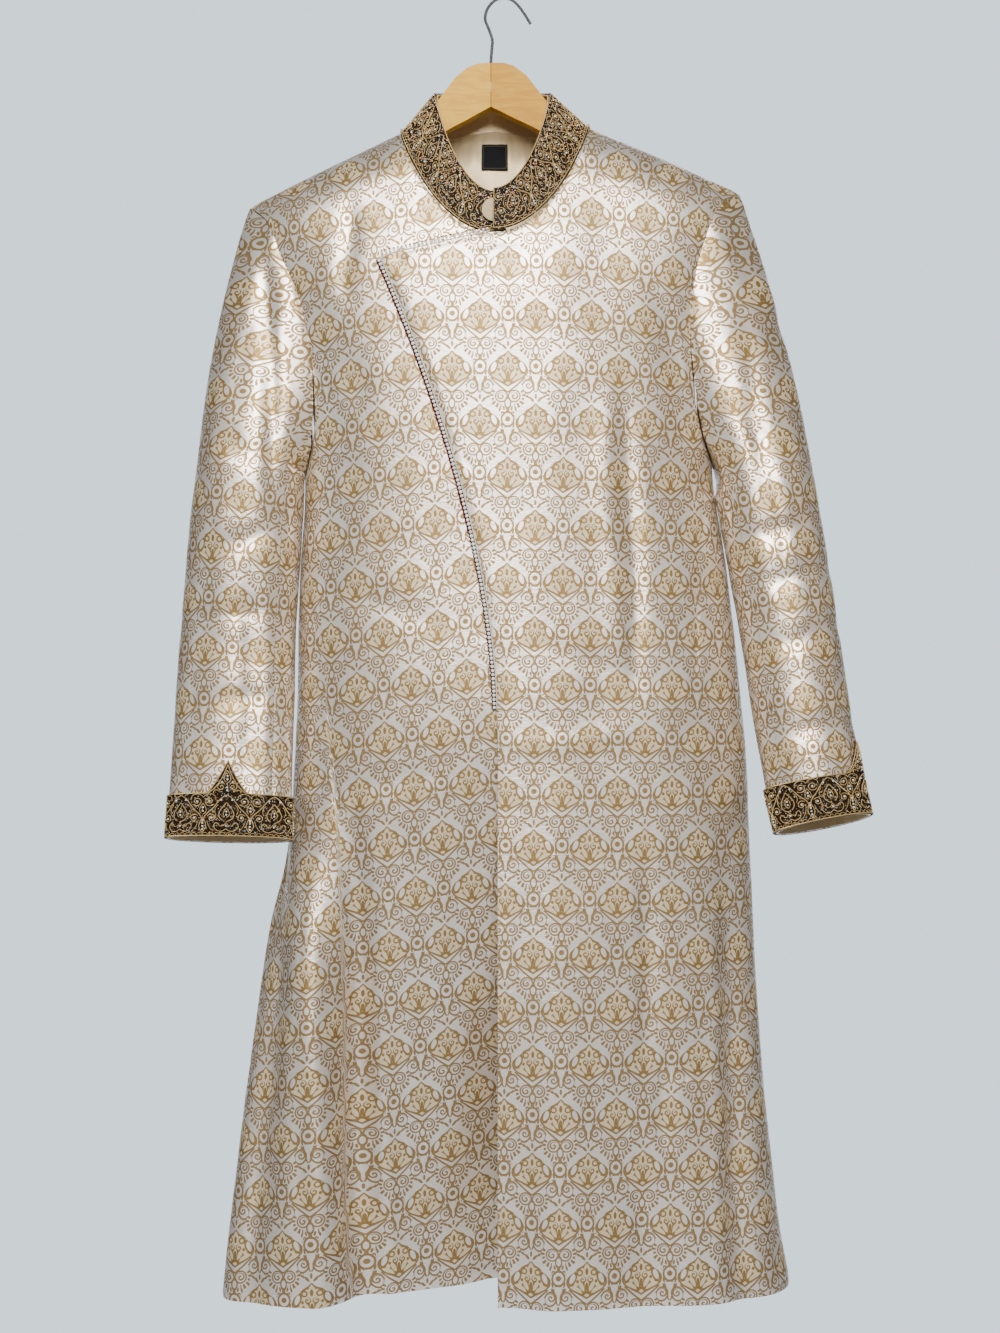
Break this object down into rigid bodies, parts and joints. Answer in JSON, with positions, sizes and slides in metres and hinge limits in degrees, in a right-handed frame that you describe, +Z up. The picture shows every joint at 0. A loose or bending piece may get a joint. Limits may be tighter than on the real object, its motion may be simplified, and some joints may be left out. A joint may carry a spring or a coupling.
{
  "type": "sherwani coat on a hanger",
  "caption": "Long sherwani coat of figured brocade with a beaded stand collar and cuffs, an asymmetric wrapped front and a deep front slit, hanging on a wooden hanger with a wire hook.",
  "frame": {"origin": "the inside top of the hanger's hook, where a rail or nail bears on it", "axes": "+X towards the wearer's left, -Y out of the coat's front, +Z up; the coat hangs at rest"},
  "size_m": [0.6569, 0.1666, 1.2252],
  "materials": {
    "brocade": "silk-like jacquard in silver white and gold",
    "embroidery": "gold cord and beads on a dark ground",
    "lining": "plain satin",
    "label": "plain woven, bare",
    "button": "covered with gold cloth",
    "beads": "silvered glass beads on red thread",
    "wood_left": "satin clear lacquer",
    "wood_right": "satin clear lacquer",
    "wire": "polished"
  },
  "bodies": {
    "root": {"front_left": "brocade", "front_right": "brocade", "back_left": "brocade", "back_right": "brocade", "sleeve_upper_left": "brocade", "sleeve_under_left": "brocade", "sleeve_upper_right": "brocade", "sleeve_under_right": "brocade", "cuff_left": "embroidery", "cuff_right": "embroidery", "collar_band": "embroidery", "collar_lining": "lining", "back_neck_lining": "lining", "neck_label": "label", "collar_button": "button", "trim_neck": "beads", "trim_front": "beads", "hanger_arm_left": "wood_left", "hanger_arm_right": "wood_right", "hanger_hook": "wire"}
  },
  "joints": []
}
